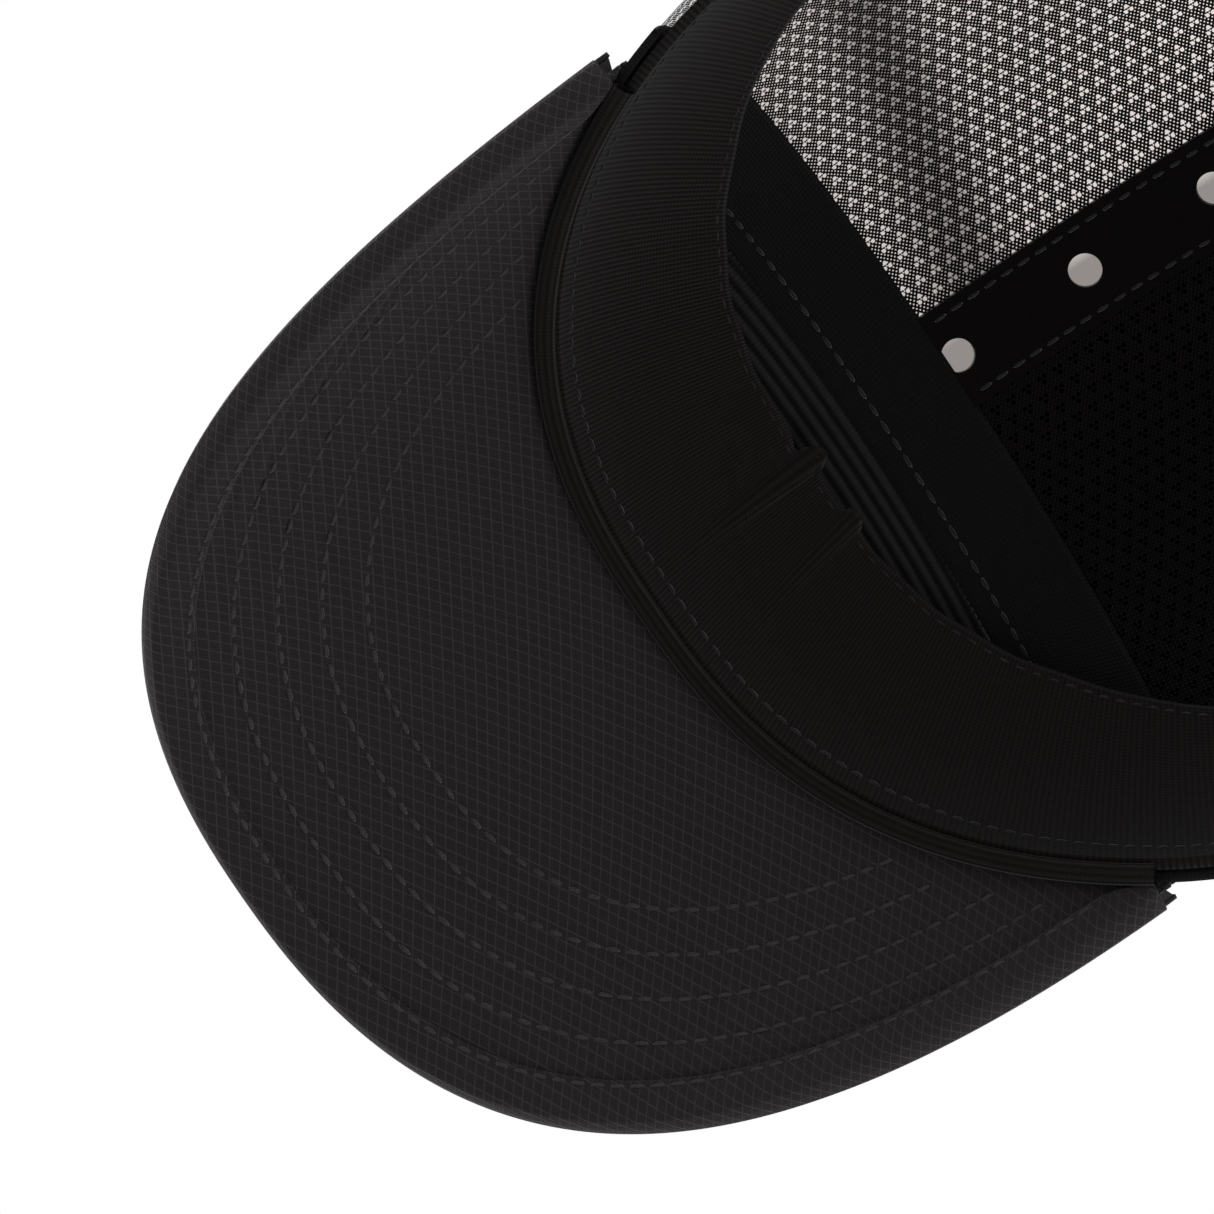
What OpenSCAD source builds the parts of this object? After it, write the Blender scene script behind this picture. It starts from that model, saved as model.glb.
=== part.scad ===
// Soft sports cap with a curved stitched visor, ribbed front, mesh sides and a rear strap.
// Origin: centre of the head opening on the table the cap stands on. Front is -Y, +X is the
// wearer's left, +Z is up. Millimetres.

/* [Crown] */
// half length of the crown, front to back
crown_half_length = 100; // [92:1:108]
// half width of the crown
crown_half_width = 73; // [66:1:84]
// height of the crown above its lower edge
crown_height = 86; // [76:1:110]
// roundness exponent of the crown, 2 is an ellipsoid
crown_roundness = 2.2; // [2:0.05:2.6]
// how far the relaxed top of the crown leans to the front
crown_lean = 10; // [0:1:20]
// cloth thickness of the crown panels
panel_thickness = 1.2; // [0.8:0.1:2]
// gap left between neighbouring panels at a seam
seam_gap = 0.3; // [0.2:0.05:0.6]

/* [Panels] */
// plane where the ribbed front panel ends
ribbed_end_y = -58; // [-70:1:-50]
// plane where the cross band ends and the mesh begins
band_end_y = -42; // [-48:1:-34]
// plane of the rear arch opening
arch_y = 85; // [78:1:92]
// half width of the centre strip
strip_half_width = 7.5; // [6:0.5:12]
// diameter of the punched holes of the centre strip
hole_d = 4.8; // [3:0.2:6]
// distance from the front end of the strip to the first hole
first_hole_offset = 1.5; // [1:0.5:12]
// pitch of the punched holes along the strip
hole_pitch = 21; // [15:1:28]
// number of punched holes
hole_count = 5; // [2:1:6]
// distance of the cross band stitches from its front edge
band_stitch_inset = 3.6; // [2:0.2:6]
// half distance between the two stitch rows of the centre strip
strip_stitch_offset = 5.9; // [4:0.1:7]

/* [Visor] */
// height of the visor root above the crown edge plane
visor_root_z = 37; // [30:1:46]
// downward slope of the visor
visor_slope = 30; // [16:1:40]
// radius of the visor's arch
visor_arch_r = 70; // [60:1:120]
// flat half width of the visor
visor_half_width = 84.5; // [78:0.5:92]
// length of the visor along its centre line
visor_length = 67; // [58:1:76]
// depth of the outline behind the visor root
visor_root_depth = 46; // [36:1:54]
// squareness exponent of the visor outline
visor_squareness = 2.45; // [2:0.05:3]
// cloth thickness of both visor covers
cover_thickness = 0.8; // [0.5:0.1:1.2]
// thickness of the stiff board between the covers
board_thickness = 1.8; // [1.2:0.1:3]
// width of the turned hem under the visor
hem_width = 6; // [4:0.5:9]
// distance of the outermost stitch row from the visor edge
row_inset = 11.95; // [9:0.05:14]
// pitch of the stitch rows
row_pitch = 6.35; // [5:0.05:8]
// radius of the soft piping along the visor seam
piping_r = 1.5; // [1:0.1:2.2]

/* [Sweatband] */
// height of the sweatband at the sides
sweatband_height = 36; // [28:1:42]
// share of that height lost at the front, where the cloth lies over the sloping crown
sweatband_front_drop = 0.3; // [0:0.05:0.4]
// thickness of the sweatband
sweatband_thickness = 1.6; // [1:0.1:3]
// how far the free top edge stands inwards
sweatband_lean = 4; // [1:0.5:8]

/* [Rear closure] */
// width of the closing strap
strap_width = 16; // [12:1:22]
// thickness of the strap
strap_thickness = 1.2; // [0.9:0.1:1.8]
// height of the lower edge of the strap
strap_z = 4; // [2:1:10]
// wire diameter of the rectangular ring
ring_wire_d = 2.2; // [1.8:0.1:2.8]
// distance between the two upright bars of the ring
ring_width = 10; // [8:0.5:14]
// length of the free tab measured along the strap
tab_length = 42; // [30:1:50]
// thickness of each hook and loop patch
patch_thickness = 1.4; // [1:0.1:1.8]

/* [Threads] */
// width of a stitch row
thread_width = 0.9; // [0.5:0.1:1.2]
// height of a stitch row above the cloth
thread_height = 0.4; // [0.3:0.05:0.6]

/* [Hidden] */
$fn = 64;
knit = [0.16, 0.15, 0.16];
ripstop = [0.2, 0.19, 0.2];
thread = [0.1, 0.09, 0.09];
fit_gap = 0.05;
layer_gap = 0.1;
stitch_gap = 0.3;
solver_steps = 14;
visor_end_angle = 7;
corner_angle = 60;
binding_width = 9;
blend_angle = 31;

// crown curve helpers: p is the exponent shared by plan and profile
p = crown_roundness;
function plan_scale(a) = pow(pow(abs(sin(a)), p) + pow(abs(cos(a)), p), -1 / p);
function shrink(ratio) = pow(max(1 - pow(abs(ratio), p), 0), 1 / p);
function leaned_y(z) = -crown_lean * z / crown_height;

// point of the crown at a plan angle from the front and a height, inset into the cloth
function crown_point(a, z, inset) =
  let (r = shrink(z / (crown_height - inset)) * plan_scale(a))
  [(crown_half_width - inset) * r * sin(a),
   -(crown_half_length - inset) * r * cos(a) + leaned_y(z), z];

// point of the crown on a cross slice: f is 0 at the left edge, 90 on top, 180 at the right
function slice_point(y, f, inset) =
  let (k = shrink(y / (crown_half_length - inset)),
       z = (crown_height - inset) * k * pow(sin(f), 2 / p))
  [(crown_half_width - inset) * k * sign(cos(f)) * pow(abs(cos(f)), 2 / p),
   y + leaned_y(z), z];

// visor: an arched sheet, u across, v forward from the root, w above the lower face
root_y = -crown_half_length * shrink(visor_root_z / crown_height) + leaned_y(visor_root_z);
function visor_point(u, v, w) =
  let (angle = u / visor_arch_r * 180 / PI,
       rise = (visor_arch_r + w) * cos(angle) - visor_arch_r)
  [(visor_arch_r + w) * sin(angle),
   root_y - v * cos(visor_slope) - rise * sin(visor_slope),
   visor_root_z - v * sin(visor_slope) + rise * cos(visor_slope)];
function arch_drop(x) = visor_arch_r - sqrt(max(pow(visor_arch_r, 2) - x * x, 0));
function visor_z(x, y) =
  visor_root_z + tan(visor_slope) * (y - root_y) - arch_drop(x) / cos(visor_slope);

// height where the crown meets the visor at plan angle a
function seam_z(a, z, step) =
  step == 0 ? z
  : let (q = crown_point(a, min(max(z, 0), crown_height * 0.9), 0))
    seam_z(a, (z + visor_z(q[0], q[1])) / 2, step - 1);
corner_z = seam_z(corner_angle, visor_root_z, solver_steps);
function edge_z(a) =
  abs(a) <= corner_angle ? seam_z(a, visor_root_z, solver_steps)
  : corner_z * pow(max(1 - (abs(a) - corner_angle) / blend_angle, 0), 2);

// visor coordinate v where the sheet meets the crown, at crosswise position u
function crown_front_y(x, z) =
  -crown_half_length * pow(max(1 - pow(abs(z) / crown_height, p)
    - pow(abs(x) / crown_half_width, p), 0), 1 / p) + leaned_y(z);
function root_height(x, z, step) =
  step == 0 ? z : root_height(x, (z + visor_z(x, crown_front_y(x, z))) / 2, step - 1);
function root_v(u) =
  let (x = visor_arch_r * sin(u / visor_arch_r * 180 / PI),
       z = root_height(x, visor_root_z / 2, solver_steps))
  (root_y + arch_drop(x) * sin(visor_slope) - crown_front_y(x, z)) / cos(visor_slope);

// visor outline moved inwards by inset, as crosswise and forward positions
function rim_u(a, inset) =
  (visor_half_width - inset) * sign(cos(a)) * pow(abs(cos(a)), 2 / visor_squareness);
function rim_v(a, inset) =
  (visor_length + visor_root_depth - inset) * pow(sin(a), 2 / visor_squareness)
  - visor_root_depth;
function rim_angle(s) = visor_end_angle + (180 - 2 * visor_end_angle) * s;

// slice angle where the panels start at the lower edge of the crown
function edge_angle(y, step = 5, f = 0) =
  step == 0 ? f
  : let (q = slice_point(y, f, 0),
         a = atan2(q[0] / crown_half_width, -y / crown_half_length),
         k = crown_height * shrink(y / crown_half_length))
    edge_angle(y, step - 1, asin(min(pow(edge_z(a) / k, p / 2), 1)));
// slice angle where a slice is a given distance from the middle
function side_angle(y, x) =
  acos(pow(abs(x) / (crown_half_width * shrink(y / crown_half_length)), p / 2));

// plan angle where the ribbed panel runs out at the lower edge, and its upper edge height
function ribbed_top_z(a, inset) =
  (crown_height - inset) * shrink(abs(ribbed_end_y)
    / ((crown_half_length - inset) * plan_scale(a) * cos(a)));
ribbed_angle = 54.4;
sweatband_end_angle = 135.5;

// closed skin between two layers of a cloth given as place(s, t, layer)
module skin(place, ni, nj) {
  points = [for (k = [0, 1], i = [0:ni], j = [0:nj]) place(i / ni, j / nj, k)];
  function at(k, i, j) = (k * (ni + 1) + i) * (nj + 1) + j;
  function quad(a, b, c, d) = [[a, b, c], [a, c, d]];
  faces = [
    for (i = [0:ni - 1], j = [0:nj - 1]) each concat(
      quad(at(0, i, j), at(0, i, j + 1), at(0, i + 1, j + 1), at(0, i + 1, j)),
      quad(at(1, i, j), at(1, i + 1, j), at(1, i + 1, j + 1), at(1, i, j + 1))),
    for (i = [0:ni - 1]) each concat(
      quad(at(0, i, 0), at(0, i + 1, 0), at(1, i + 1, 0), at(1, i, 0)),
      quad(at(0, i + 1, nj), at(0, i, nj), at(1, i, nj), at(1, i + 1, nj))),
    for (j = [0:nj - 1]) each concat(
      quad(at(0, 0, j + 1), at(0, 0, j), at(1, 0, j), at(1, 0, j + 1)),
      quad(at(0, ni, j), at(0, ni, j + 1), at(1, ni, j + 1), at(1, ni, j)))
  ];
  polyhedron(points, faces);
}

// the cap stands on the two front corners of the visor and the rear edge of the crown
standing_tilt = 1.85;
module standing() {
  translate([0, arch_y, 0]) rotate([-standing_tilt, 0, 0]) translate([0, -arch_y, 0]) children();
}

// ---- visor ----
board_low = cover_thickness + layer_gap;
board_high = board_low + board_thickness;
cover_low = board_high + layer_gap;
cover_high = cover_low + cover_thickness;
seam_clear = 0.5;
root_reach = 0.45;

// flat layer of the visor between two heights, ending at inset from the outline
module visor_layer(inset, low, high, ni, nj) {
  skin(function(s, t, k)
    let (a = rim_angle(s), u = rim_u(a, inset), w = k == 0 ? high : low,
         v = root_v(u) + seam_clear - root_reach * w)
    visor_point(u, v + t * (max(rim_v(a, inset), v + 0.5) - v), w),
    ni, nj);
}

module visor_board() color([0.3, 0.3, 0.3]) standing() visor_layer(1.8, board_low, board_high, 36, 6);

module visor_bottom_cover() color(ripstop) standing() visor_layer(1.2, 0, cover_thickness, 40, 7);

// turned edge: inset and height of the outer and the inner face of the cloth
hem_low = -layer_gap - cover_thickness;
hem_outer = [[3, cover_high], [1, cover_high - 0.1], [0.2, cover_high - 0.9], [0, 1.4],
             [0.2, -0.2], [1, hem_low], [hem_width, hem_low]];
hem_inner = [[3, cover_low], [1.3, cover_low - 0.1], [0.95, cover_low - 0.5], [0.8, 1.4],
             [0.9, 0.1], [1.2, -layer_gap], [hem_width, -layer_gap]];
module visor_top_cover() {
  top_cells = 6;
  cells = top_cells + len(hem_outer) - 1;
  color(ripstop) standing() skin(function(s, t, k)
    let (a = rim_angle(s), j = round(t * cells), edge = k == 0 ? hem_outer : hem_inner,
         inset = edge[max(j - top_cells, 0)][0], w = edge[max(j - top_cells, 0)][1],
         u = rim_u(a, inset), v = root_v(u) + seam_clear - root_reach * max(w, 0),
         tip = max(rim_v(a, inset), v + 0.4))
    visor_point(u, j < top_cells ? v + j / top_cells * (tip - v) : tip, w),
    40, cells);
}

// one row of stitches parallel to the outline, lying on the lower face
module visor_row(inset, top, start) {
  color(thread) standing() skin(function(s, t, k)
    let (a = start + (180 - 2 * start) * s, d = inset + (0.5 - t) * thread_width)
    visor_point(rim_u(a, d), rim_v(a, d), k == 0 ? top : top - thread_height),
    48, 1);
}
module visor_hem_stitch() visor_row(hem_width - 0.9, hem_low - layer_gap, 10.5);
module visor_stitch_row_outer() visor_row(row_inset, -stitch_gap, 13);
module visor_stitch_row_third() visor_row(row_inset + row_pitch, -stitch_gap, 16);
module visor_stitch_row_second() visor_row(row_inset + 2 * row_pitch, -stitch_gap, 20);
module visor_stitch_row_inner() visor_row(row_inset + 3 * row_pitch, -stitch_gap, 24);

// soft cord folded into the seam between visor and sweatband
module visor_seam_piping() {
  color(knit) standing() skin(function(s, t, k)
    let (a = (2 * s - 1) * corner_angle, q = crown_point(a, edge_z(a), 0),
         turn = (k == 0 ? -1 : 1) * (8 + 164 * t), out = [sin(a), -cos(a)],
         r = -piping_r - 0.2 + piping_r * cos(turn))
    [q[0] + r * out[0], q[1] + r * out[1], q[2] - piping_r - 0.3 - piping_r * sin(turn)],
    44, 4);
}

// ---- crown ----
module front_ribbed_panel() {
  color(knit) standing() skin(function(s, t, k)
    let (a = (2 * s - 1) * ribbed_angle, inset = k * panel_thickness, low = edge_z(a),
         high = max(ribbed_top_z(a, inset) - seam_gap, low + 0.6))
    crown_point(a, low + t * (high - low), inset),
    28, 9);
}

// cloth between two cross planes, from slice angle lo(y) to slice angle hi(y)
module slice_panel(y0, y1, lo, hi, ni, nj) {
  skin(function(s, t, k)
    let (y = y0 + s * (y1 - y0), f0 = lo(y), f1 = hi(y))
    slice_point(y, f0 + t * (f1 - f0), k * panel_thickness),
    ni, nj);
}

module cross_band() color(knit) standing() slice_panel(ribbed_end_y + seam_gap, band_end_y,
  function(y) edge_angle(y), function(y) 180 - edge_angle(y), 4, 36);

module cross_band_stitch() {
  color(thread) standing() skin(function(s, t, k)
    let (y = ribbed_end_y + band_stitch_inset + t * thread_width, low = edge_angle(y) + 3)
    slice_point(y, 180 - low - s * (180 - 2 * low),
      panel_thickness + layer_gap + k * thread_height),
    36, 1);
}

// punched holes: y planes at equal steps along the top of the crown
function next_hole_y(y, left) =
  left <= 0 ? y
  : let (q0 = slice_point(y, 90, 0), q1 = slice_point(y + 0.5, 90, 0))
    next_hole_y(y + 0.5, left - norm(q1 - q0));
function hole_y(i) =
  i == 0 ? band_end_y + first_hole_offset : next_hole_y(hole_y(i - 1), hole_pitch);

module centre_strip() {
  color(thread) standing() difference() {
    slice_panel(band_end_y + seam_gap, arch_y,
      function(y) side_angle(y, strip_half_width),
      function(y) 180 - side_angle(y, strip_half_width), 36, 2);
    for (i = [0:hole_count - 1]) {
      q = slice_point(hole_y(i), 90, 0);
      ahead = slice_point(hole_y(i) + 1, 90, 0);
      translate(q) rotate([atan2(ahead[2] - q[2], ahead[1] - q[1]), 0, 0])
        cylinder(h = 8, d = hole_d, center = true);
    }
  }
}

module strip_stitch(side) {
  color(thread) standing() skin(function(s, t, k)
    let (y = band_end_y + 1 + s * (arch_y - binding_width - 2 - band_end_y),
         x = strip_stitch_offset + (side > 0 ? 0.5 - t : t - 0.5) * thread_width,
         f = side_angle(y, x))
    slice_point(y, side > 0 ? f : 180 - f, panel_thickness + layer_gap + (1 - k) * thread_height),
    40, 1);
}
module centre_strip_left_stitch() strip_stitch(1);
module centre_strip_right_stitch() strip_stitch(-1);

module left_mesh_panel() color(knit) standing() slice_panel(band_end_y + seam_gap, arch_y,
  function(y) edge_angle(y), function(y) side_angle(y, strip_half_width + seam_gap), 28, 12);
module right_mesh_panel() mirror([1, 0, 0]) left_mesh_panel();

// ---- sweatband ----
band_inset = panel_thickness + 0.4;
// point on the sweatband: share of its height, depth measured from its outer face
function sweat_height(a) =
  sweatband_height * (1 - sweatband_front_drop * pow(max(cos(a), 0), 2));
function sweat_point(a, share, depth) =
  crown_point(a, edge_z(a) + share * sweat_height(a),
    band_inset + sweatband_lean * pow(share, 1.5) + depth);
module sweatband() {
  color(knit) standing() skin(function(s, t, k)
    sweat_point((2 * s - 1) * sweatband_end_angle, 0.01 + 0.99 * t, k * sweatband_thickness),
    64, 8);
}
module sweatband_row(share) {
  color(thread) standing() skin(function(s, t, k)
    sweat_point((2 * s - 1) * sweatband_end_angle, share + t * thread_width / sweatband_height,
      sweatband_thickness + stitch_gap + k * thread_height),
    64, 1);
}
module sweatband_lower_stitch() sweatband_row(0.1);
module sweatband_top_stitch() sweatband_row(0.92);

// ---- rear arch and closure ----
// cloth folded round the rear edge of the panels, given as inset and distance from the arch plane
binding_outer = [[-1.1, -binding_width], [-1.1, 0.2], [-0.5, 1], [1.7, 1], [2.3, 0.2],
                 [2.3, -binding_width]];
binding_inner = [[-0.3, -binding_width], [-0.3, 0.1], [0.1, 0.3], [1.1, 0.3], [1.5, 0.1],
                 [1.5, -binding_width]];
binding_start = 0.2;
module rear_arch_binding() {
  cells = len(binding_outer) - 1;
  color(knit) standing() skin(function(s, t, k)
    let (q = (k == 0 ? binding_outer : binding_inner)[round(t * cells)],
         f = binding_start + (180 - 2 * binding_start) * s)
    slice_point(arch_y + q[1], 180 - f, q[0]),
    44, cells);
}

// the strap lies on an arc about an upright axis; angles are from straight back to the left
strap_arc_r = 66.5;
strap_centre_y = 33.5;
anchor_angle = 37.3;
strap_high = strap_z + strap_width;
bar_r = ring_wire_d / 2;
fold_angle = -17;
fold_inner_r = patch_thickness + layer_gap;
fold_r = strap_arc_r + strap_thickness + fold_inner_r;
ring_half_angle = asin(ring_width / 2 / fold_r);
ring_angle = fold_angle - 2 * ring_half_angle;
tab_angle = tab_length / fold_r * 180 / PI;
tab_gap_angle = 0.7 / fold_r * 180 / PI;
crease_angle = 0.03;
patch_inset = 1.5;
patch_start_angle = 6;
loop_r = bar_r + fit_gap;

// arc of webbing running from one angle to another, between two heights
module webbing(r, thickness, from, to, low, high) {
  translate([0, strap_centre_y, low]) rotate([0, 0, 90 - from]) mirror([0, to > from ? 1 : 0, 0])
    rotate_extrude(angle = abs(to - from)) translate([r, 0]) square([thickness, high - low]);
}
module at_strap_angle(a) {
  translate([0, strap_centre_y, 0]) rotate([0, 0, -a]) children();
}
// half loop of webbing round an upright bar, its ends running off to the right
module webbing_fold(a, r) {
  at_strap_angle(a) translate([0, fold_r, strap_z]) rotate([0, 0, -90])
    rotate_extrude(angle = 180) translate([r, 0]) square([strap_thickness, strap_width]);
}

module closure_strap() color(knit) standing() mirror([1, 0, 0]) {
  webbing(strap_arc_r, strap_thickness, -fold_angle - crease_angle, -anchor_angle,
    strap_z, strap_high);
  webbing_fold(-fold_angle, fold_inner_r);
}
module closure_loop_patch() color(thread) standing()
  webbing(strap_arc_r + strap_thickness, patch_thickness, fold_angle + patch_start_angle,
    fold_angle + tab_angle, strap_z + patch_inset, strap_high - patch_inset);
module closure_free_tab() color(knit) standing()
  webbing(fold_r + fold_inner_r, strap_thickness, fold_angle + tab_gap_angle,
    fold_angle + tab_angle, strap_z, strap_high);
module closure_hook_patch() color(thread) standing()
  webbing(fold_r + layer_gap, patch_thickness, fold_angle + patch_start_angle + 4,
    fold_angle + tab_angle - 3, strap_z + patch_inset, strap_high - patch_inset);

// rectangular wire ring: two upright bars joined above and below the webbing
ring_side_gap = 0.8;
module closure_ring() {
  low = strap_z - ring_side_gap - bar_r;
  high = strap_high + ring_side_gap + bar_r;
  half = ring_width / 2;
  color([0.1, 0.1, 0.1]) standing()
    at_strap_angle((fold_angle + ring_angle) / 2)
      translate([0, fold_r * cos(ring_half_angle), 0]) {
        for (x = [-half, half], z = [low, high]) translate([x, 0, z]) sphere(r = bar_r);
        for (x = [-half, half]) translate([x, 0, low]) cylinder(h = high - low, r = bar_r);
        for (z = [low, high]) translate([-half, 0, z]) rotate([0, 90, 0])
          cylinder(h = ring_width, r = bar_r);
      }
}

module closure_ring_webbing() color(knit) standing() {
  for (r = [fold_r - loop_r - strap_thickness, fold_r + loop_r])
    webbing(r, strap_thickness, ring_angle, -anchor_angle, strap_z, strap_high);
  webbing_fold(ring_angle, loop_r);
}

// rectangle of stitches holding the webbing near its sewn end
tack_margin = 2;
module box_tack(r, a0, a1) {
  side = thread_width / r * 180 / PI;
  color(thread) standing() difference() {
    webbing(r, thread_height, a0, a1, strap_z + tack_margin, strap_high - tack_margin);
    webbing(r - 1, thread_height + 2, a0 + side, a1 - side,
      strap_z + tack_margin + thread_width, strap_high - tack_margin - thread_width);
  }
}
module left_anchor_stitch() box_tack(strap_arc_r + strap_thickness + fit_gap, 26, 35);
module right_anchor_stitch()
  box_tack(fold_r + loop_r + strap_thickness + fit_gap, -anchor_angle + 1.5, ring_angle - 3);

visor_board();
visor_top_cover();
visor_bottom_cover();
visor_hem_stitch();
visor_stitch_row_inner();
visor_stitch_row_second();
visor_stitch_row_third();
visor_stitch_row_outer();
visor_seam_piping();
front_ribbed_panel();
cross_band();
cross_band_stitch();
centre_strip();
centre_strip_left_stitch();
centre_strip_right_stitch();
left_mesh_panel();
right_mesh_panel();
sweatband();
sweatband_lower_stitch();
sweatband_top_stitch();
rear_arch_binding();
closure_strap();
closure_loop_patch();
closure_free_tab();
closure_hook_patch();
closure_ring();
closure_ring_webbing();
left_anchor_stitch();
right_anchor_stitch();
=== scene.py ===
import bpy
import math
import random
import numpy as np
from mathutils import Matrix, Vector


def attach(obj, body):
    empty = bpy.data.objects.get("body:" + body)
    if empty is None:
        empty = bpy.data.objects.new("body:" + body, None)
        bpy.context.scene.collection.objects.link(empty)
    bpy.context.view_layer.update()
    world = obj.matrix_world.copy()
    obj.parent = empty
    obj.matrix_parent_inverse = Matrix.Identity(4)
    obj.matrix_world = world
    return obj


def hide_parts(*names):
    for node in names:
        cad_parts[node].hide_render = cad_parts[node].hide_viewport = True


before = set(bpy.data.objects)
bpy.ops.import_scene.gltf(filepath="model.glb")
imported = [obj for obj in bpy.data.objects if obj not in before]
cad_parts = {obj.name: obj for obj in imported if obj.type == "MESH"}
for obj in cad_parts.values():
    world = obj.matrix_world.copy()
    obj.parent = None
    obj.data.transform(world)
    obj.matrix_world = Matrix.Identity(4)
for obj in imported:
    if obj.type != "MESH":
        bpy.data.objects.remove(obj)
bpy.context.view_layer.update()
random.seed(4)

# ---------------------------------------------------------------------------
# Visor, upper cloth. A stiff board is wrapped in micro ripstop; the upper cloth
# turns round the edge and is hemmed underneath. The visor is an arched sheet
# that starts where the crown's lower front edge stands.
# ---------------------------------------------------------------------------
# crown, in millimetres; ROUND is its roundness exponent, LEAN how far its relaxed top leans forward
HALF_LENGTH = 100.0
HALF_WIDTH = 73.0
HEIGHT = 86.0
ROUND = 2.2
LEAN = 10.0
# visor, in millimetres; SQUARE is the squareness exponent of its outline
SLOPE = math.radians(30)
ARCH_R = 70.0
VISOR_W = 84.5
VISOR_L = 67.0
ROOT_DEPTH = 46.0
SQUARE = 2.45
ROOT_Z = 37.0
# the seam of the visor ends at a plan angle, and the crown's edge then falls to the table
SEAM_END = math.radians(60)
EDGE_FALL = math.radians(31)
# plane of the rear arch, about which the cap is tipped as it stands
ARCH_Y = 85.0
TILT = math.radians(1.85)
STEPS = 18


def fall(ratio):
    """Superellipse partner of a ratio from 0 to 1."""
    return np.maximum(1 - np.abs(ratio) ** ROUND, 0) ** (1 / ROUND)


def plan_scale(angle):
    """Plan radius of the rounded outline at an angle from the front."""
    return (np.abs(np.sin(angle)) ** ROUND + np.abs(np.cos(angle)) ** ROUND) ** (-1 / ROUND)


ROOT_Y = -HALF_LENGTH * float(fall(ROOT_Z / HEIGHT)) - LEAN * ROOT_Z / HEIGHT


def standing(x, y, z):
    """Millimetres on the cap to metres in the frame, tipped as it stands on a table."""
    y = y - ARCH_Y
    return np.stack([x, ARCH_Y + y * math.cos(TILT) + z * math.sin(TILT),
                     z * math.cos(TILT) - y * math.sin(TILT)], -1) / 1000


def crown(angle, z, inset):
    """Crown cloth at a plan angle from the front and a height, inset from its outer face."""
    r = fall(z / (HEIGHT - inset)) * plan_scale(angle)
    return ((HALF_WIDTH - inset) * r * np.sin(angle),
            -(HALF_LENGTH - inset) * r * np.cos(angle) - LEAN * z / HEIGHT, z)


def arch_drop(x):
    """How far the arched visor falls below its middle at a distance x to the side."""
    return ARCH_R - np.sqrt(np.maximum(ARCH_R ** 2 - x * x, 0))


def visor_height(x, y):
    return ROOT_Z + math.tan(SLOPE) * (y - ROOT_Y) - arch_drop(x) / math.cos(SLOPE)


def edge_height(angle):
    """Height of the crown's lower edge: along the visor, then down to the table level."""
    a = np.minimum(np.abs(angle), SEAM_END)
    z = np.full(np.shape(a), ROOT_Z)
    for _ in range(STEPS):
        x, y, _height = crown(a, np.clip(z, 0, HEIGHT * 0.9), 0)
        z = (z + visor_height(x, y)) / 2
    left = np.maximum(1 - (np.abs(angle) - SEAM_END) / EDGE_FALL, 0)
    return np.where(np.abs(angle) <= SEAM_END, z, z * left ** 2)


def visor(u, v, w):
    """Arched sheet: u across, v forward from the root, w above the lower face."""
    rise = (ARCH_R + w) * np.cos(u / ARCH_R) - ARCH_R
    return standing((ARCH_R + w) * np.sin(u / ARCH_R),
                    ROOT_Y - v * math.cos(SLOPE) - rise * math.sin(SLOPE),
                    ROOT_Z - v * math.sin(SLOPE) + rise * math.cos(SLOPE))


def root_v(u):
    """Where the sheet meets the crown."""
    x = ARCH_R * np.sin(u / ARCH_R)
    z = np.full(np.shape(u), ROOT_Z / 2)
    y = z * 0
    for _ in range(STEPS):
        inside = 1 - (np.abs(z) / HEIGHT) ** ROUND - (np.abs(x) / HALF_WIDTH) ** ROUND
        y = -HALF_LENGTH * np.maximum(inside, 0) ** (1 / ROUND) - LEAN * z / HEIGHT
        z = (z + visor_height(x, y)) / 2
    return (ROOT_Y + arch_drop(x) * math.sin(SLOPE) - y) / math.cos(SLOPE)


def rim(angle, inset):
    """Visor outline moved inwards, as u and v."""
    c, s = np.cos(angle), np.sin(angle)
    return ((VISOR_W - inset) * np.sign(c) * np.abs(c) ** (2 / SQUARE),
            (VISOR_L + ROOT_DEPTH - inset) * np.abs(s) ** (2 / SQUARE) - ROOT_DEPTH)


def sweep(s, start):
    """Angle along the visor outline, from one side to the other, for s from 0 to 1."""
    return start + (math.pi - 2 * start) * s


def cloth(name, place, nu, nv, thickness, uv_mm):
    """A cloth cut as a grid, laid in place by place(s, t), then given its thickness inwards.
    Its UVs are millimetres along the cloth, for the weave."""
    bpy.ops.object.select_all(action="DESELECT")
    bpy.ops.mesh.primitive_grid_add(x_subdivisions=nu, y_subdivisions=nv, size=2)
    o = bpy.context.object
    o.name = o.data.name = name
    me = o.data
    co = np.empty(len(me.vertices) * 3)
    me.vertices.foreach_get("co", co)
    st = (co.reshape(-1, 3)[:, :2] + 1) / 2
    xyz = place(st[:, 0], st[:, 1])
    me.vertices.foreach_set("co", xyz.ravel())
    loops = np.empty(len(me.loops), dtype=int)
    me.loops.foreach_get("vertex_index", loops)
    flat = uv_mm(st[:, 0], st[:, 1], xyz)
    me.uv_layers[0].data.foreach_set("uv", flat[loops].ravel())
    me.update()
    if thickness:
        solid = o.modifiers.new("thickness", "SOLIDIFY")
        solid.thickness = thickness
        solid.offset = -1
        solid.use_even_offset = False
        bpy.ops.object.modifier_apply(modifier=solid.name)
    bpy.ops.object.shade_smooth()
    return o


def flat_size(place):
    """Mean length of a cloth along t and its area, in metres and square metres."""
    samples = 40
    s, t = np.meshgrid(np.linspace(0, 1, samples), np.linspace(0, 1, samples), indexing="ij")
    p = place(s.ravel(), t.ravel()).reshape(samples, samples, 3)
    ds, dt = np.diff(p, axis=0), np.diff(p, axis=1)
    area = np.linalg.norm(np.cross(ds[:, :-1], dt[:-1]), axis=-1).sum()
    return np.linalg.norm(dt, axis=-1).sum(1).mean(), area


def declare(o, place, node, body="cap"):
    across, area = flat_size(place)
    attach(o, body)
    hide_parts(node)
    return o


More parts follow.
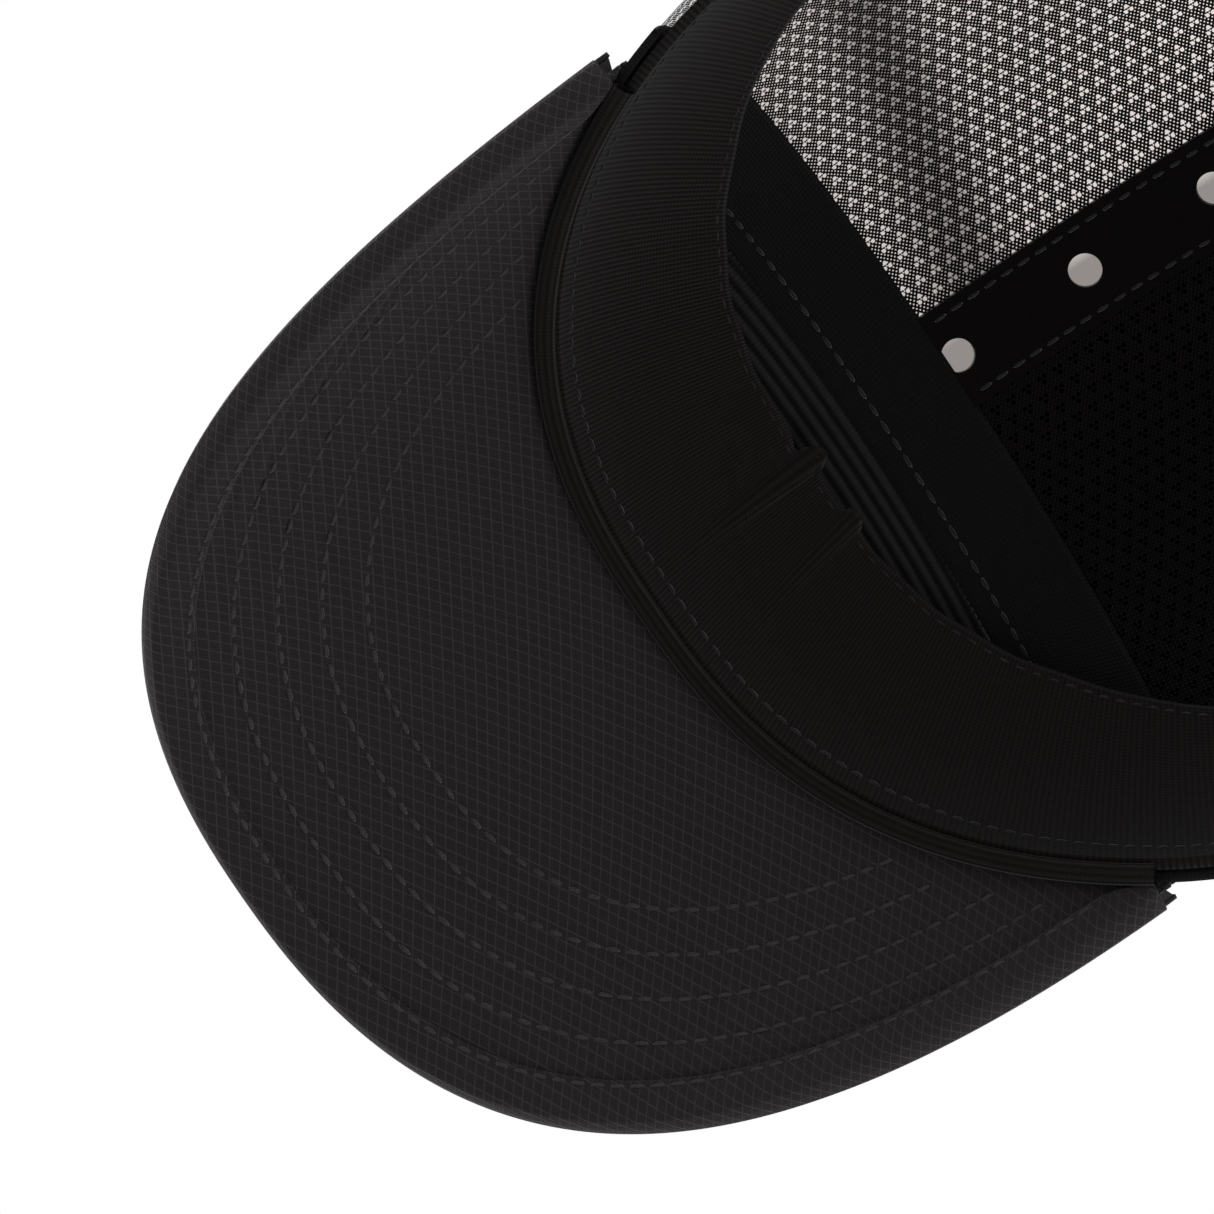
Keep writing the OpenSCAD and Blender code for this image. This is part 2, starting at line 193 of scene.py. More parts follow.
class Wire:
    """A shader value with ordinary arithmetic."""

    def __init__(self, tree, socket):
        self.tree, self.socket = tree, socket

    def math(self, operation, *others):
        n = self.tree.nodes.new("ShaderNodeMath")
        n.operation = operation
        for i, v in enumerate((self, *others)):
            if isinstance(v, Wire):
                self.tree.links.new(v.socket, n.inputs[i])
            else:
                n.inputs[i].default_value = v
        return Wire(self.tree, n.outputs[0])

    def __add__(self, v):
        return self.math("ADD", v)

    def __mul__(self, v):
        return self.math("MULTIPLY", v)

    def __sub__(self, v):
        return self.math("SUBTRACT", v)

    def __rsub__(self, v):
        return self * -1 + v

    def __truediv__(self, v):
        return self.math("DIVIDE", v)

    __radd__ = __add__
    __rmul__ = __mul__

    def wrap(self, period):
        """Signed distance to the nearest multiple of period."""
        return self - (self / period).math("ROUND") * period

    def below(self, limit, soft):
        """1 under limit, 0 above, with a soft edge."""
        return ((limit - self) / soft + 0.5).math("MAXIMUM", 0.0).math("MINIMUM", 1.0)

    def wave(self, period):
        """0 to 1 and back over each period."""
        return (self * (2 * math.pi / period)).math("SINE") * 0.5 + 0.5


class Paint:
    """One procedural cloth material, read from the piece's UVs in millimetres."""

    def __init__(self, name, rough=0.9, sheen=0.08):
        self.mat = bpy.data.materials.new(name)
        self.mat.use_nodes = True
        self.tree = self.mat.node_tree
        self.bsdf = self.tree.nodes["Principled BSDF"]
        self.bsdf.inputs["Roughness"].default_value = rough
        self.bsdf.inputs["Sheen Weight"].default_value = sheen
        self.bsdf.inputs["Sheen Roughness"].default_value = 0.5
        self.bsdf.inputs["Specular IOR Level"].default_value = 0.15
        split = self.node("ShaderNodeSeparateXYZ", {}, Vector=self.node("ShaderNodeUVMap", {}).outputs[0])
        self.u, self.v = Wire(self.tree, split.outputs[0]), Wire(self.tree, split.outputs[1])

    def node(self, kind, settings, **values):
        n = self.tree.nodes.new(kind)
        for k, v in settings.items():
            setattr(n, k, v)
        for k, v in values.items():
            k = k.replace("_", " ")
            if isinstance(v, Wire):
                v = v.socket
            if isinstance(v, bpy.types.NodeSocket):
                self.tree.links.new(v, n.inputs[k])
            else:
                n.inputs[k].default_value = v
        return n

    def noise(self, scale, detail=3.0):
        """Soft unevenness over the cloth, scale in cycles per metre of the object."""
        place = self.node("ShaderNodeTexCoord", {}).outputs["Object"]
        spots = self.node("ShaderNodeTexNoise", {}, Vector=place, Scale=scale, Detail=detail)
        return Wire(self.tree, spots.outputs[0])

    def colour(self, dark, light, mask):
        mix = self.node("ShaderNodeMix", {"data_type": "RGBA"})
        self.tree.links.new(mask.socket, mix.inputs[0])
        mix.inputs[6].default_value = (*dark, 1)
        mix.inputs[7].default_value = (*light, 1)
        self.tree.links.new(mix.outputs[2], self.bsdf.inputs["Base Color"])

    def bump(self, height, distance_mm):
        b = self.node("ShaderNodeBump", {}, Distance=distance_mm / 1000, Height=height)
        self.tree.links.new(b.outputs[0], self.bsdf.inputs["Normal"])


# micro ripstop: plain weave with a diamond grid of slightly thicker, lighter yarns
DIAMOND = 2.3
DIAMOND_ACROSS = 0.87
DIAMOND_ALONG = 1.25
YARN = 0.42
ripstop = Paint("ripstop", 0.85, 0.12)
diagonals = [(ripstop.u * DIAMOND_ACROSS + ripstop.v * along).wrap(DIAMOND).math("ABSOLUTE")
             for along in (DIAMOND_ALONG, -DIAMOND_ALONG)]
thick_yarns = diagonals[0].math("MINIMUM", diagonals[1]).below(0.13, 0.16)
weave = ripstop.u.wave(YARN) * ripstop.v.wave(YARN)
ripstop.colour((0.024, 0.0195, 0.021), (0.072, 0.061, 0.065),
               thick_yarns * 0.75 + weave * 0.12 + ripstop.noise(900) * 0.16)
ripstop.bump(thick_yarns * 0.7 + weave * 0.5, 0.12)


def visor_uv(s, t, xyz):
    """The arch stretches the cloth sideways and the slope stretches it forwards."""
    across, along = xyz[:, 0] * 1000, xyz[:, 1] * 1000
    return np.stack([across * (1 + 0.12 * (across / 65) ** 2), along * 1.15], 1)


VISOR_END = math.radians(7)
BOARD_TOP = 2.8
COVER = 0.7
FLAT_SHARE = 0.62
# outer face of the cloth over the rim: inset from the outline and height above the lower face
TURN = np.array([(3, BOARD_TOP + 0.8), (1, BOARD_TOP + 0.7), (0.2, BOARD_TOP - 0.1), (0, 1.4), (0.2, -0.2),
                 (1, -0.9), (3.5, -0.95), (6, -0.9)])


def top_cover(s, t):
    """Root to edge on top, over the rim and back under it as the hem."""
    angle = sweep(s, VISOR_END)
    j = np.clip((t - FLAT_SHARE) / (1 - FLAT_SHARE), 0, 1) * (len(TURN) - 1)
    inset = np.interp(j, np.arange(len(TURN)), TURN[:, 0])
    w = np.interp(j, np.arange(len(TURN)), TURN[:, 1])
    u_edge, v_edge = rim(angle, 0)
    inset = np.minimum(inset, 0.75 * np.maximum(v_edge - root_v(u_edge), 0))
    u, v_end = rim(angle, inset)
    v = root_v(u) + 0.5 - 0.45 * np.maximum(w, 0)
    v_end = np.maximum(v_end, v + 0.4)
    return visor(u, v + np.clip(t / FLAT_SHARE, 0, 1) * (v_end - v), w)


visor_top = cloth("visor_top_cover", top_cover, 160, 70, COVER / 1000, visor_uv)
visor_top.data.materials.append(ripstop.mat)
declare(visor_top, top_cover, "visor_top_cover")

# ---------------------------------------------------------------------------
# Visor, lower cloth. Same ripstop, cut to the same outline and tucked under the hem.
# The four stitch rows pull it in a little, and its root is sewn in under the piping.
# ---------------------------------------------------------------------------
ROW_INSET = 11.95
ROW_PITCH = 6.35
ROW_COUNT = 4
DENT_DEPTH = 0.22
DENT_WIDTH = 0.8


def bottom_cover(s, t):
    angle = sweep(1 - s, VISOR_END)
    u, v_end = rim(angle, 1.2)
    v = root_v(u) - 1.8
    v_end = np.maximum(v_end, v + 0.4)
    along = v + t * (v_end - v)
    dent = 0.0
    for row in range(ROW_COUNT):
        row_v = rim(angle, ROW_INSET + ROW_PITCH * row)[1]
        dent = dent + DENT_DEPTH * np.exp(-((along - row_v) / DENT_WIDTH) ** 2)
    return visor(u, along, dent)


visor_bottom = cloth("visor_bottom_cover", bottom_cover, 180, 130, COVER / 1000, visor_uv)
visor_bottom.data.materials.append(ripstop.mat)
declare(visor_bottom, bottom_cover, "visor_bottom_cover")

# ---------------------------------------------------------------------------
# Visor stitches. Four lockstitch rows at quarter-inch gauge hold cloths and board
# together, and one row holds the hem. Each stitch is a short slim thread.
# ---------------------------------------------------------------------------
visor_thread = Paint("visor_thread", 0.5, 0.3)
visor_thread.colour((0.02, 0.017, 0.018), (0.085, 0.077, 0.08), visor_thread.noise(2500))

SIDES = 6
# one stitch: share of its length, lift and fatness, the last two in thread widths
STITCH = np.array([(0, -0.25, 0), (0.18, 0.05, 0.8), (0.5, 0.15, 1), (0.82, 0.05, 0.8), (1, -0.25, 0)])


def one_stitch(points, normals, width):
    """Points of one stitch: a tip, three rings of thread and a tip."""
    along = (points[-1] - points[0]) / np.linalg.norm(points[-1] - points[0])
    verts = []
    for point, normal, (_share, lift, fat) in zip(points, normals, STITCH):
        across = np.cross(normal, along)
        centre = point + normal * lift * width / 1000
        if fat == 0:
            verts.append(centre)
            continue
        for side in range(SIDES):
            turn = side * 2 * math.pi / SIDES
            spoke = across * math.cos(turn) + normal * math.sin(turn) * 0.7
            verts.append(centre + spoke * width * fat / 2000)
    return verts


def stitch_faces(first):
    """Faces of the stitch whose points start at number first."""
    rings = [first + 1 + SIDES * k for k in range(3)]
    tip = first + 1 + 3 * SIDES
    faces = []
    for q in range(SIDES):
        w = (q + 1) % SIDES
        faces.append((first, rings[0] + w, rings[0] + q))
        faces += [(a + q, a + w, b + w, b + q) for a, b in zip(rings, rings[1:])]
        faces.append((rings[2] + q, rings[2] + w, tip))
    return faces


def stitches(name, path, pitch, length, width, mat):
    """Separate stitches along path(s) -> points, outward normals, both in metres."""
    p, normal = path(np.linspace(0, 1, 600))
    run = np.concatenate([[0], np.cumsum(np.linalg.norm(np.diff(p, axis=0), axis=1))]) * 1000
    verts, faces = [], []
    for i in range(int(run[-1] / pitch)):
        at = i * pitch + random.uniform(-0.06, 0.06) + length * STITCH[:, 0]
        points = np.stack([np.interp(at, run, p[:, k]) for k in range(3)], 1)
        normals = np.stack([np.interp(at, run, normal[:, k]) for k in range(3)], 1)
        normals /= np.linalg.norm(normals, axis=1)[:, None]
        faces += stitch_faces(len(verts))
        verts += one_stitch(points, normals, width)
    me = bpy.data.meshes.new(name)
    me.from_pydata([tuple(v) for v in verts], [], faces)
    me.shade_smooth()
    me.materials.append(mat)
    o = bpy.data.objects.new(name, me)
    bpy.context.collection.objects.link(o)
    bpy.ops.object.select_all(action="DESELECT")
    o.select_set(True)
    bpy.context.view_layer.objects.active = o
    bpy.ops.object.mode_set(mode="EDIT")
    bpy.ops.mesh.select_all(action="SELECT")
    bpy.ops.mesh.normals_make_consistent(inside=False)
    bpy.ops.object.mode_set(mode="OBJECT")
    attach(o, "cap")
    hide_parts(name)


def visor_path(inset, first, w):
    def path(s):
        u, v = rim(sweep(s, math.radians(first)), inset)
        here = visor(u, v, w)
        return here, visor(u, v, w - 0.1) - here
    return path


# each row's name and the outline angle where it runs out, from the edge inwards
for row, (name, first) in enumerate((("visor_stitch_row_outer", 13), ("visor_stitch_row_third", 16),
                                     ("visor_stitch_row_second", 20), ("visor_stitch_row_inner", 24))):
    stitches(name, visor_path(ROW_INSET + ROW_PITCH * row, first, 0.0), 2.7, 2.1, 0.68, visor_thread.mat)
stitches("visor_hem_stitch", visor_path(5.1, 10.5, -0.95), 2.7, 2.1, 0.6, visor_thread.mat)

# ---------------------------------------------------------------------------
# Piping. A soft folded lip of jersey closes the seam between visor and sweatband.
# Its wales run along the lip.
# ---------------------------------------------------------------------------
jersey = Paint("jersey", 0.95, 0.1)
wales = jersey.u.wave(0.85)
courses = jersey.v.wave(0.6)
jersey.colour((0.0045, 0.0034, 0.003), (0.019, 0.0152, 0.0138),
              wales * 0.7 + courses * 0.12 + jersey.noise(700) * 0.2)
jersey.bump(wales + courses * 0.25, 0.14)
PIPING_R = 1.5


def piping(s, t):
    angle = SEAM_END * (2 * s - 1)
    x, y, z = crown(angle, edge_height(angle), 0)
    turn = t * 2 * math.pi
    out = PIPING_R * (np.cos(turn) - 1) - 0.2
    return standing(x + out * np.sin(angle), y - out * np.cos(angle), z - 0.3 + PIPING_R * (np.sin(turn) - 1))


def piping_uv(s, t, xyz):
    return np.stack([t * 9, s * 190], 1)


lip = cloth("visor_seam_piping", piping, 220, 20, 0, piping_uv)
lip.data.materials.append(jersey.mat)
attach(lip, "cap")
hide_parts("visor_seam_piping")

# ---------------------------------------------------------------------------
# Front panel. A ribbed knit from the visor seam to the cross band; its ribs run across.
# ---------------------------------------------------------------------------
RIBBED_END = 58.0
RIBBED_ANGLE = math.radians(54.8)
PANEL = 1.1
ribbed = Paint("ribbed_knit", 0.92, 0.1)
rib = ribbed.v.wave(2.0)
rib_loops = ribbed.u.wave(0.7)
ribbed.colour((0.0035, 0.0028, 0.0028), (0.026, 0.022, 0.023),
              rib * rib * 0.8 + rib_loops * 0.1 + ribbed.noise(800) * 0.12)
ribbed.bump(rib + rib_loops * 0.1, 0.7)


def ribbed_panel(s, t):
    """From the visor seam up to just under the cross band."""
    angle = RIBBED_ANGLE * (2 * s - 1)
    low = edge_height(angle)
    high = HEIGHT * fall(RIBBED_END / (HALF_LENGTH * plan_scale(angle) * np.cos(angle))) + 0.4
    return standing(*crown(angle, low + t * (np.maximum(high, low + 0.6) - low), 0))


def ribbed_uv(s, t, xyz):
    return np.stack([xyz[:, 0] * 1000, (xyz[:, 1] * 1000 + 62) * 1.25], 1)


front = cloth("front_ribbed_panel", ribbed_panel, 120, 60, PANEL / 1000, ribbed_uv)
front.data.materials.append(ribbed.mat)
declare(front, ribbed_panel, "front_ribbed_panel")

# ---------------------------------------------------------------------------
# Cross band. A smooth knit strip over the head behind the ribbed panel, held by
# one row of stitches near its front edge.
# ---------------------------------------------------------------------------
BAND_START = -57.85
BAND_WIDTH = 15.7
BAND_STITCH_Y = -54.0
plain = Paint("plain_knit", 0.94, 0.06)
plain_loops = plain.u.wave(0.75) * plain.v.wave(0.6)
plain.colour((0.0055, 0.0048, 0.0045), (0.0125, 0.0112, 0.0108), plain_loops * 0.6 + plain.noise(600) * 0.4)
plain.bump(plain_loops, 0.12)


def slice_at(y, f, inset):
    """Crown cloth on a cross plane; f runs from 0 at the left edge over the top to pi."""
    k = fall(y / (HALF_LENGTH - inset))
    z = (HEIGHT - inset) * k * np.abs(np.sin(f)) ** (2 / ROUND)
    x = (HALF_WIDTH - inset) * k * np.sign(np.cos(f)) * np.abs(np.cos(f)) ** (2 / ROUND)
    return standing(x, y - LEAN * z / HEIGHT, z)


def low_angle(y):
    """Slice angle at the crown's lower edge."""
    k = fall(y / HALF_LENGTH)
    f = y * 0
    for _ in range(6):
        x = HALF_WIDTH * k * np.cos(f) ** (2 / ROUND)
        edge = edge_height(np.arctan2(x / HALF_WIDTH, -y / HALF_LENGTH))
        f = np.arcsin(np.minimum((edge / (HEIGHT * k)) ** (ROUND / 2), 1))
    return f


def side_angle(y, x):
    """Slice angle at a distance x from the middle."""
    return np.arccos(np.minimum((x / (HALF_WIDTH * fall(y / HALF_LENGTH))) ** (ROUND / 2), 1))


def over_top(s, low):
    """Slice angle from the right side over the top to the left, for s from 0 to 1."""
    return math.pi - low - s * (math.pi - 2 * low)


def band(s, t):
    y = BAND_START + BAND_WIDTH * t
    return slice_at(y, over_top(s, low_angle(y)), 0)


def band_uv(s, t, xyz):
    return np.stack([s * 210, t * 17], 1)


cross = cloth("cross_band", band, 160, 14, PANEL / 1000, band_uv)
cross.data.materials.append(plain.mat)
declare(cross, band, "cross_band")

thread = Paint("sewing_thread", 0.55, 0.4)
thread.colour((0.006, 0.005, 0.0055), (0.022, 0.019, 0.02), thread.noise(2500))


def inside_crown(y, f, inset):
    """Points on the inner face of a panel, with normals pointing into the head opening."""
    here = slice_at(y, f, inset)
    return here, slice_at(y, f, inset + 0.15) - here


def band_path(s):
    y = np.full(s.shape, BAND_STITCH_Y)
    return inside_crown(y, over_top(s, low_angle(y) + 0.05), PANEL + 0.05)


stitches("cross_band_stitch", band_path, 2.9, 2.2, 0.55, thread.mat)

# ---------------------------------------------------------------------------
# Centre strip. Dense tape from the cross band to the rear arch with five punched
# vents, sewn down along both sides.
# ---------------------------------------------------------------------------
STRIP_START = -42.5
STRIP_HALF = 7.5
STRIP_THICKNESS = 1.2
HOLE_R = 2.4
HOLE_COUNT = 5
FIRST_HOLE_Y = -40.5
HOLE_PITCH = 21.0
tape = Paint("dense_tape", 0.9, 0.02)
tape_weave = tape.u.wave(0.5) * tape.v.wave(0.5)
tape.colour((0.0022, 0.0013, 0.0012), (0.006, 0.004, 0.0038), tape_weave * 0.5 + tape.noise(700) * 0.5)
tape.bump(tape_weave, 0.08)


def strip(s, t):
    y = STRIP_START + (ARCH_Y - STRIP_START) * t
    return slice_at(y, over_top(s, side_angle(y, STRIP_HALF)), 0)


def strip_uv(s, t, xyz):
    return np.stack([s * 15, t * 140], 1)


def on_ridge(y):
    """Point on the crown's middle line."""
    return slice_at(np.array(y), np.array(math.pi / 2), 0)


centre = cloth("centre_strip", strip, 10, 150, STRIP_THICKNESS / 1000, strip_uv)
centre.data.materials.append(tape.mat)
hole_y = [FIRST_HOLE_Y]
while len(hole_y) < HOLE_COUNT:
    y, left = hole_y[-1], HOLE_PITCH
    while left > 0:
        left -= np.linalg.norm(on_ridge(y) - on_ridge(y + 0.5)) * 1000
        y += 0.5
    hole_y.append(y)
for y in hole_y:
    hole, ahead = on_ridge(y), on_ridge(y + 1.0)
    bpy.ops.object.select_all(action="DESELECT")
    bpy.ops.mesh.primitive_cylinder_add(vertices=40, radius=HOLE_R / 1000, depth=0.008, location=hole,
                                        rotation=(math.atan2(ahead[2] - hole[2], ahead[1] - hole[1]), 0, 0))
    punch = bpy.context.object
    bpy.ops.object.select_all(action="DESELECT")
    centre.select_set(True)
    bpy.context.view_layer.objects.active = centre
    cut = centre.modifiers.new("punch", "BOOLEAN")
    cut.object = punch
    cut.solver = "EXACT"
    bpy.ops.object.modifier_apply(modifier=cut.name)
    bpy.data.objects.remove(punch)
bpy.ops.object.shade_smooth_by_angle(angle=math.radians(40))
declare(centre, strip, "centre_strip")


def strip_path(side):
    def path(s):
        y = FIRST_HOLE_Y + s * 114
        f = side_angle(y, STRIP_HALF - 1.6)
        return inside_crown(y, f if side > 0 else math.pi - f, STRIP_THICKNESS)
    return path


for side, name in ((1, "centre_strip_left_stitch"), (-1, "centre_strip_right_stitch")):
    stitches(name, strip_path(side), 2.8, 2.1, 0.5, thread.mat)

# ---------------------------------------------------------------------------
# Mesh side panels. Eyelet mesh: groups of three open eyelets on a staggered lattice
# over a field of tiny knit holes. The holes are really open, by alpha. The panels are
# sewn in under the cross band and the centre strip.
# ---------------------------------------------------------------------------
GROUP_U = 2.8
GROUP_V = 4.7
KNIT_U = 0.7
KNIT_V = 0.78
eyelet_mesh = Paint("eyelet_mesh", 0.95, 0.03)


def round_holes(off_u, off_v, pitch_u, pitch_v, radius, soft, places=((0.0, 0.0),)):
    """1 in round holes repeated over the cloth, 0 between them."""
    a, b = (eyelet_mesh.u + off_u).wrap(pitch_u), (eyelet_mesh.v + off_v).wrap(pitch_v)
    found = []
    for at_u, at_v in places:
        x, y = a - at_u, b - at_v
        found.append((x * x + y * y).math("SQRT").below(radius, soft))
    return found


holes = []
for shift in (0.0, 0.5):
    holes += round_holes(GROUP_U * shift, GROUP_V * shift, GROUP_U, GROUP_V, 0.31, 0.08,
                         ((0.0, 0.5), (0.46, -0.28), (-0.46, -0.28)))
for shift in (0.0, 0.5):
    holes += round_holes(KNIT_U * shift, KNIT_V * shift, KNIT_U, KNIT_V, 0.115, 0.06)
openings = holes[0]
for hole in holes[1:]:
    openings = openings.math("MAXIMUM", hole)
yarn = eyelet_mesh.u.wave(KNIT_U) * eyelet_mesh.v.wave(KNIT_V)
eyelet_mesh.colour((0.003, 0.002, 0.0018), (0.011, 0.0085, 0.008), yarn * 0.6 + eyelet_mesh.noise(500) * 0.4)
eyelet_mesh.bump(yarn - openings * 0.8, 0.2)
eyelet_mesh.tree.links.new((1 - openings).socket, eyelet_mesh.bsdf.inputs["Alpha"])

MESH_START = -42.9
MESH_LENGTH = 127.9


def mesh_panel(side):
    def place(s, t):
        y = MESH_START + MESH_LENGTH * s
        low, high = low_angle(y), side_angle(y, STRIP_HALF - 0.4)
        f = low + t * (high - low)
        wrinkle = 0.5 * np.sin(f * 9 + y * 0.05) * np.sin(t * math.pi) * np.exp(-((y + 10) / 45) ** 2)
        return slice_at(y, f if side > 0 else math.pi - f, 0.4 + 0.3 * wrinkle)
    return place


def mesh_uv(s, t, xyz):
    y = MESH_START + MESH_LENGTH * s
    return np.stack([y * 1.08, (1 - t) * 112 * fall(y / HALF_LENGTH)], 1)


for side, name in ((1, "left_mesh_panel"), (-1, "right_mesh_panel")):
    place = mesh_panel(side)
    panel = cloth(name, place, 150, 110, 0, mesh_uv)
    if side < 0:
        bpy.ops.object.mode_set(mode="EDIT")
        bpy.ops.mesh.select_all(action="SELECT")
        bpy.ops.mesh.flip_normals()
        bpy.ops.object.mode_set(mode="OBJECT")
    panel.data.materials.append(eyelet_mesh.mat)
    declare(panel, place, name)

# ---------------------------------------------------------------------------
# Sweatband. Jersey sewn in at the lower edge, standing a little inwards at its free
# top edge, with two puckers at the front.
# ---------------------------------------------------------------------------
SWEAT_END = math.radians(135.5)
SWEAT_HEIGHT = 36.0
FRONT_DROP = 0.3
SWEAT_THICKNESS = 1.5
# plan angle, width and depth of each pucker and of the swell beside it
PUCKERS = ((1.5, 0.8, 1.7), (-11, 1.1, 0.9), (4.5, 2, -0.5))


def sweat(depth):
    """Jersey at a depth inside its outer face."""
    def place(s, t):
        angle = SWEAT_END * (2 * s - 1)
        tall = SWEAT_HEIGHT * (1 - FRONT_DROP * np.maximum(np.cos(angle), 0) ** 2)
        deg = np.degrees(angle)
        pucker = t ** 3 * sum(deep * np.exp(-((deg - at) / wide) ** 2) for at, wide, deep in PUCKERS)
        ripple = t ** 1.5 * 0.09 * np.sin(deg * 0.5 + 1)
        inset = 1.6 + 4 * t ** 1.5 + depth + pucker + ripple
        return standing(*crown(angle, edge_height(angle) + (0.01 + 0.99 * t) * tall, inset))
    return place


def sweat_uv(s, t, xyz):
    return np.stack([s * 400, t * 36], 1)


sweatband = cloth("sweatband", sweat(0), 420, 44, SWEAT_THICKNESS / 1000, sweat_uv)
sweatband.data.materials.append(jersey.mat)
declare(sweatband, sweat(0), "sweatband")


def sweat_path(share):
    def path(s):
        s = 0.01 + 0.98 * s
        t = np.full(s.shape, share)
        here = sweat(SWEAT_THICKNESS)(s, t)
        return here, sweat(SWEAT_THICKNESS + 0.2)(s, t) - here
    return path


stitches("sweatband_lower_stitch", sweat_path(0.11), 2.6, 2.0, 0.55, thread.mat)
stitches("sweatband_top_stitch", sweat_path(0.93), 2.6, 2.0, 0.5, thread.mat)

# ---------------------------------------------------------------------------
# Rear arch binding. Tape folded over the cut rear edges of the panels.
# ---------------------------------------------------------------------------
# outer face of the folded tape: inset into the crown and distance behind the arch's plane
FOLD = np.array([(-0.9, -9), (-0.9, 0.2), (-0.4, 0.8), (1.6, 0.8), (2.1, 0.2), (2.1, -9)])
BINDING_END = math.radians(0.2)


def binding(s, t):
    j = t * (len(FOLD) - 1)
    inset = np.interp(j, range(len(FOLD)), FOLD[:, 0])
    y = ARCH_Y + np.interp(j, range(len(FOLD)), FOLD[:, 1])
    return slice_at(y, over_top(s, BINDING_END), inset)


def binding_uv(s, t, xyz):
    return np.stack([s * 160, t * 24], 1)


bound = cloth("rear_arch_binding", binding, 140, 40, 0.0006, binding_uv)
bound.data.materials.append(tape.mat)
declare(bound, binding, "rear_arch_binding")

# ---------------------------------------------------------------------------
# Rear closure. Woven webbing runs from the left through a moulded ring and folds back
# on itself, held by hook and loop; the ring hangs in a loop of webbing on the right.
# ---------------------------------------------------------------------------
webbing = Paint("webbing", 0.8, 0.25)
herring = (webbing.v + webbing.u.wrap(4).math("ABSOLUTE")).wave(1.1) * webbing.u.wave(1.0)
webbing.colour((0.006, 0.0055, 0.0055), (0.026, 0.024, 0.024), herring * 0.7 + webbing.noise(900) * 0.3)
webbing.bump(herring, 0.2)
hook = Paint("hook_and_loop", 1.0, 0.6)
fuzz = hook.noise(3000, 6)
hook.colour((0.003, 0.003, 0.003), (0.02, 0.019, 0.019), fuzz)
hook.bump(fuzz, 0.6)
moulding = Paint("moulded_ring", 0.42, 0.0)
grain = moulding.noise(1500)
moulding.colour((0.008, 0.008, 0.008), (0.014, 0.014, 0.014), grain)
moulding.bump(grain, 0.03)
stiffener = Paint("visor_board", 0.5, 0.0)
stiffener.colour((0.02, 0.02, 0.02), (0.04, 0.04, 0.04), stiffener.noise(400))
for name, paint in (("closure_ring", moulding), ("visor_board", stiffener)):
    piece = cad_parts[name]
    piece.data.materials.clear()
    piece.data.materials.append(paint.mat)

# the strap lies on an arc behind the head; angles are in degrees from straight back to the left
ARC_CENTRE_Y = 33.5
FOLD_R = 69.2
ANCHOR = 37.3
FOLD_ANGLE = -17
RING_ANGLE = -25.28
STRAP_LOW, STRAP_HIGH = 4, 20
PATCH_LOW, PATCH_HIGH = 5.5, 18.5
STRAP_THICKNESS = 1.2
PATCH_THICKNESS = 1.4
STRAP_TURN = 2.7
RING_TURN = 2.35


def at_back(angle, radius, z):
    """Point at an angle and a radius about the upright line in the middle of the head opening."""
    return standing(radius * np.sin(angle), ARC_CENTRE_Y + radius * np.cos(angle), z + 0 * angle)


def webbing_piece(name, path, length, start, end, thickness, paint, body="cap"):
    """Length of webbing whose outer face follows path(t) -> angle, radius; start and end are the heights
    of its two edges."""
    def place(s, t):
        angle, radius = path(t)
        return at_back(angle, radius, start + s * (end - start))

    def uv(s, t, xyz):
        return np.stack([s * abs(end - start), t * length], 1)

    o = cloth(name, place, 16, 110, thickness / 1000, uv)
    o.data.materials.append(paint.mat)
    declare(o, place, name, body)


def looped(anchor, turn, turn_r, share):
    """Path along an inner layer to the turn, then half round it."""
    def path(t):
        k, h = np.clip(t / share, 0, 1), np.clip((t - share) / (1 - share), 0, 1) * math.pi
        side = 1 if anchor > turn else -1
        angle = math.radians(anchor) + math.radians(turn - anchor) * k
        return angle - side * turn_r * np.sin(h) / FOLD_R, FOLD_R - turn_r * np.cos(h)
    return path


def on_arc(first, last, radius):
    def path(t):
        return np.radians(first + (last - first) * t), radius + 0 * t
    return path


def ring_loop(t):
    """Webbing from the anchor round the ring bar and back to the anchor."""
    angle, radius = looped(-ANCHOR, RING_ANGLE, RING_TURN, 0.5)(np.minimum(t / 0.6, 1))
    back = np.clip((t - 0.6) / 0.4, 0, 1)
    return angle - math.radians(ANCHOR + RING_ANGLE) * back, radius


tab_r = FOLD_R + STRAP_TURN
webbing_piece("closure_strap", looped(ANCHOR, FOLD_ANGLE, STRAP_TURN, 0.88), 72, STRAP_LOW, STRAP_HIGH,
              STRAP_THICKNESS, webbing)
webbing_piece("closure_free_tab", on_arc(-16.4, 17.8, tab_r), 42, STRAP_LOW, STRAP_HIGH,
              STRAP_THICKNESS, webbing, body="tab")
webbing_piece("closure_ring_webbing", ring_loop, 38, STRAP_HIGH, STRAP_LOW,
              STRAP_THICKNESS, webbing)
webbing_piece("closure_loop_patch", on_arc(-11, 17.8, FOLD_R - 0.1), 35, PATCH_LOW, PATCH_HIGH,
              PATCH_THICKNESS, hook)
webbing_piece("closure_hook_patch", on_arc(-7, 14.8, tab_r - STRAP_THICKNESS), 26, PATCH_LOW, PATCH_HIGH,
              PATCH_THICKNESS, hook, body="tab")


def tack_path(radius, first, last):
    """Rectangle of stitches near a sewn end."""
    low, high = STRAP_LOW + 2.5, STRAP_HIGH - 2.5

    def path(s):
        corner = np.array([0, 0.36, 0.5, 0.86, 1])
        angle = np.radians(np.interp(s, corner, [first, last, last, first, first]))
        z = np.interp(s, corner, [low, low, high, high, low])
        here = at_back(angle, radius, z)
        return here, at_back(angle, radius + 0.2, z) - here
    return path


stitches("left_anchor_stitch", tack_path(67.75, 26.4, 34.6), 2.4, 1.9, 0.55, thread.mat)
stitches("right_anchor_stitch", tack_path(71.6, -35.4, -28.7), 2.4, 1.9, 0.55, thread.mat)

